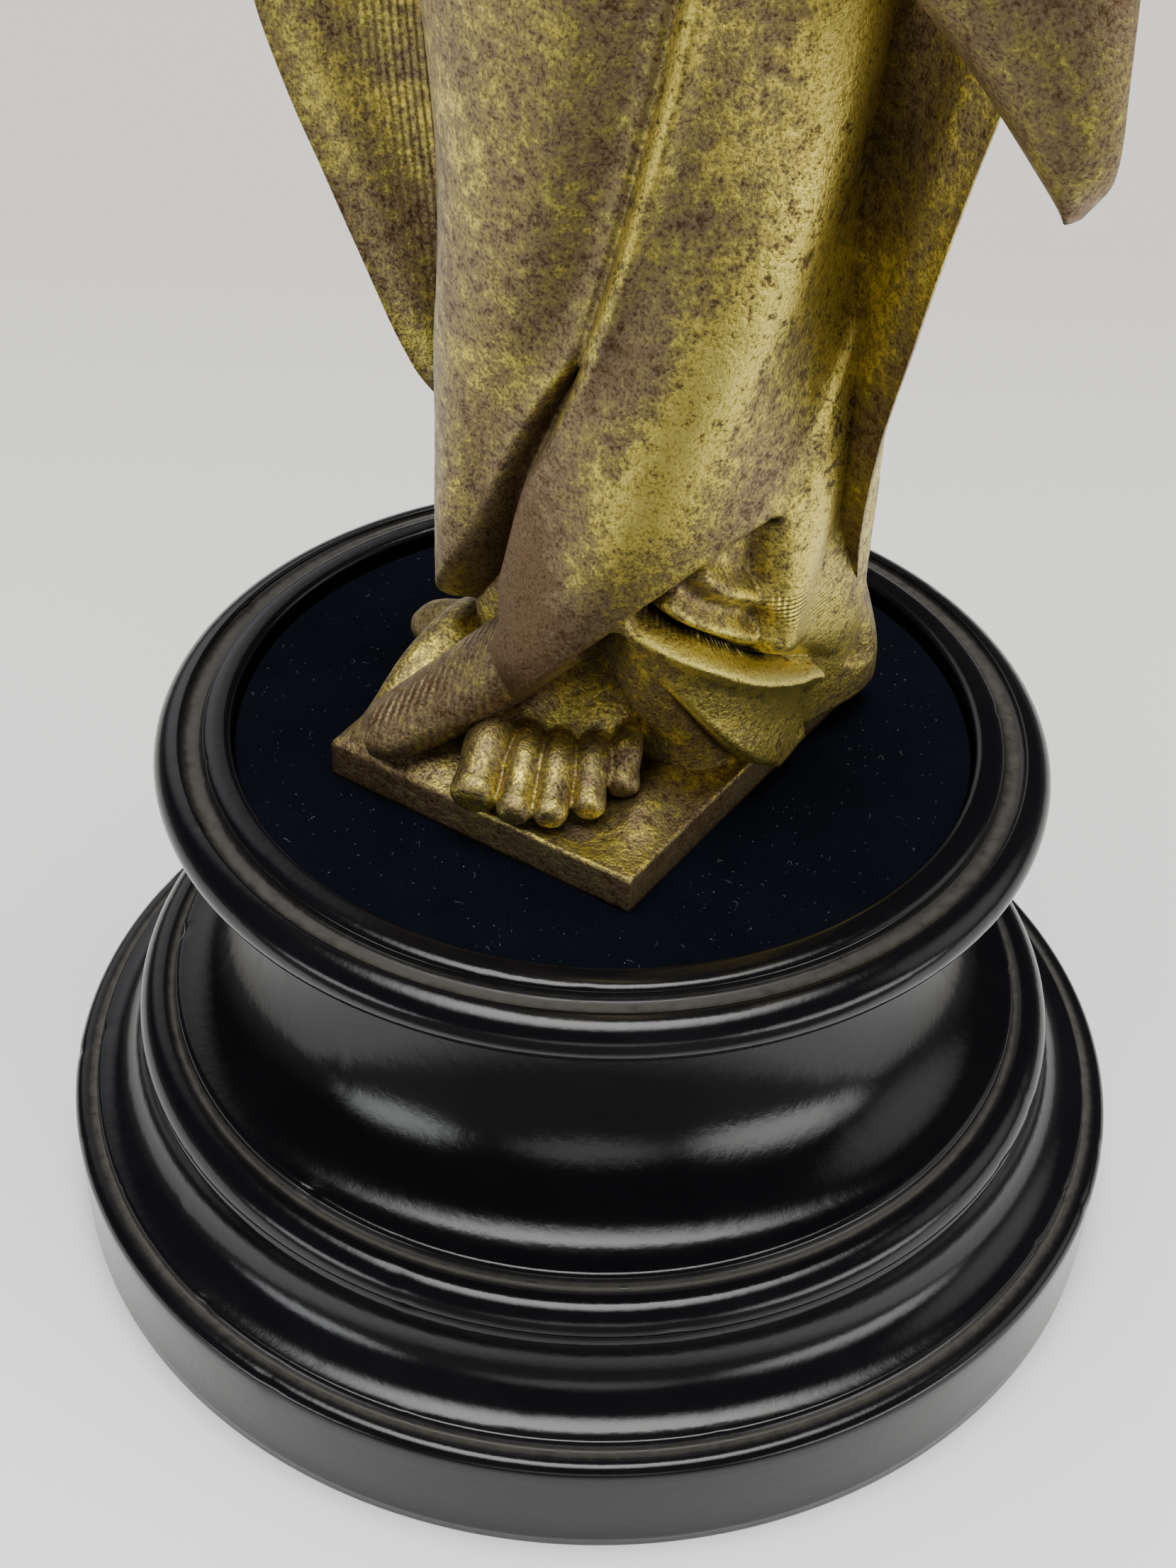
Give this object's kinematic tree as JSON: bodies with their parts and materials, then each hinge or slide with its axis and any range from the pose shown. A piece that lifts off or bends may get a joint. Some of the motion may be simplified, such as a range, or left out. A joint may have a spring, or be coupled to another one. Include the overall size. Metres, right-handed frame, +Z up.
{
  "type": "bronze angel statue",
  "caption": "Small gilt-bronze statue of a standing angel with folded hands on a turned black wooden socle with a dark velvet top.",
  "frame": {"origin": "centre of the socle's flat underside", "axes": "+Z up through the figure, -Y the way the figure faces, +X the figure's left side"},
  "size_m": [0.1804, 0.1804, 0.4457],
  "materials": {
    "ebonised_wood": "turned wood, ebonised and polished to a high gloss, with pale dust in its grooves and small chips on its edges",
    "velvet": "very dark blue velvet with a short pile and a few white fibres of lint",
    "bronze": "cast bronze with worn gilding, golden on ridges and mauve brown in patches, darker in the folds"
  },
  "bodies": {
    "root": {"socle": "ebonised_wood", "velvet_pad": "velvet", "angel": "bronze"}
  },
  "joints": []
}
